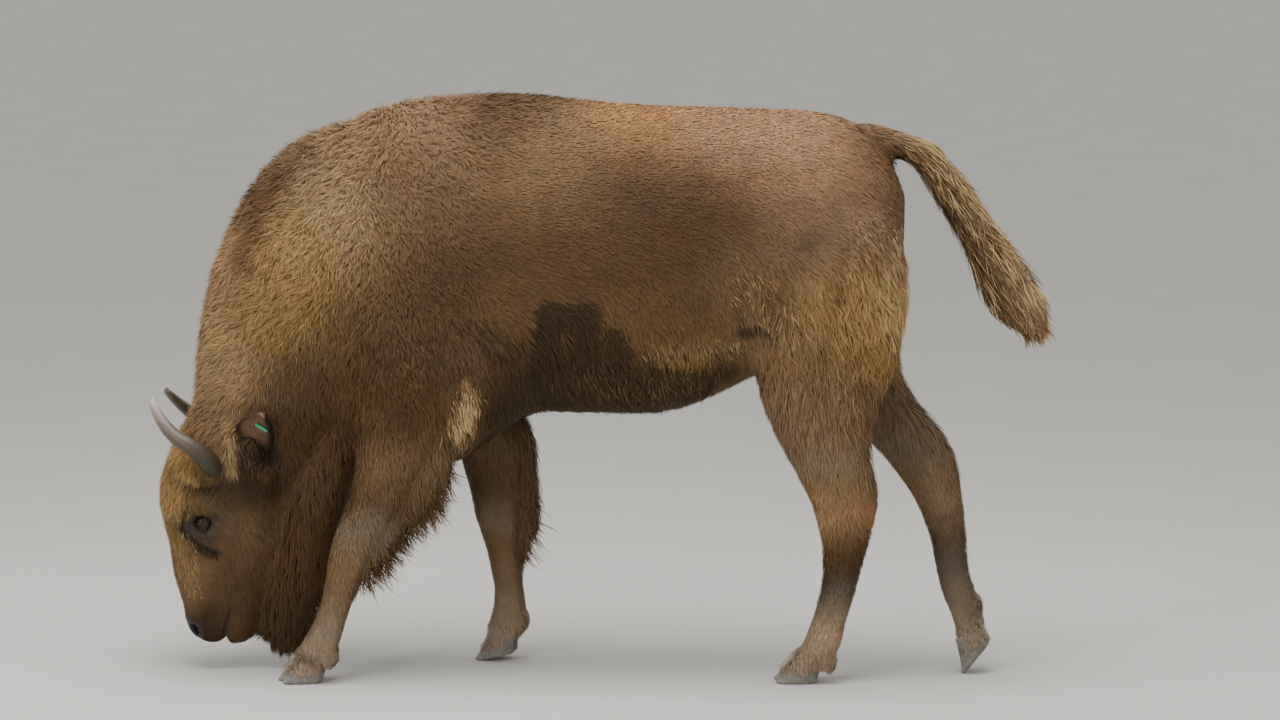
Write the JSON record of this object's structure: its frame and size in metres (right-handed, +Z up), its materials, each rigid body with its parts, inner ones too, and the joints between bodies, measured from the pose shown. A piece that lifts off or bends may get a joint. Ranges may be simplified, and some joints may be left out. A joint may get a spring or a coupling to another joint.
{
  "type": "wisent (european bison)",
  "caption": "Life-size still model of a young wisent, head lowered to graze, with short curved horns, a beard, a raised tail and cloven hooves.",
  "frame": {"origin": "middle of the bounding box, on the floor that the hooves stand on", "axes": "+Z up; the animal faces -X and its left side faces -Y"},
  "size_m": [2.2208, 0.544, 1.4445],
  "materials": {
    "coat": "matte hair",
    "nose_leather": "moist satin",
    "horn_sheath": "worn horn",
    "hoof_horn": "worn horn",
    "eye": "wet gloss",
    "tag_plastic": "satin"
  },
  "bodies": {
    "root": {"beard": "coat", "dewclaw_front_left_inner": "hoof_horn", "dewclaw_front_left_outer": "hoof_horn", "dewclaw_front_right_inner": "hoof_horn", "dewclaw_front_right_outer": "hoof_horn", "dewclaw_hind_left_inner": "hoof_horn", "dewclaw_hind_left_outer": "hoof_horn", "dewclaw_hind_right_inner": "hoof_horn", "dewclaw_hind_right_outer": "hoof_horn", "ear_left": "coat", "ear_right": "coat", "ear_tag": "tag_plastic", "eye_left": "eye", "eye_right": "eye", "fringe_left": "coat", "fringe_right": "coat", "head": "coat", "hoof_front_left_inner": "hoof_horn", "hoof_front_left_outer": "hoof_horn", "hoof_front_right_inner": "hoof_horn", "hoof_front_right_outer": "hoof_horn", "hoof_hind_left_inner": "hoof_horn", "hoof_hind_left_outer": "hoof_horn", "hoof_hind_right_inner": "hoof_horn", "hoof_hind_right_outer": "hoof_horn", "horn_left": "horn_sheath", "horn_right": "horn_sheath", "jaw": "coat", "leg_front_left": "coat", "leg_front_right": "coat", "leg_hind_left": "coat", "leg_hind_right": "coat", "neck": "coat", "nose": "nose_leather", "tail": "coat", "tail_brush": "coat", "trunk": "coat"}
  },
  "joints": []
}
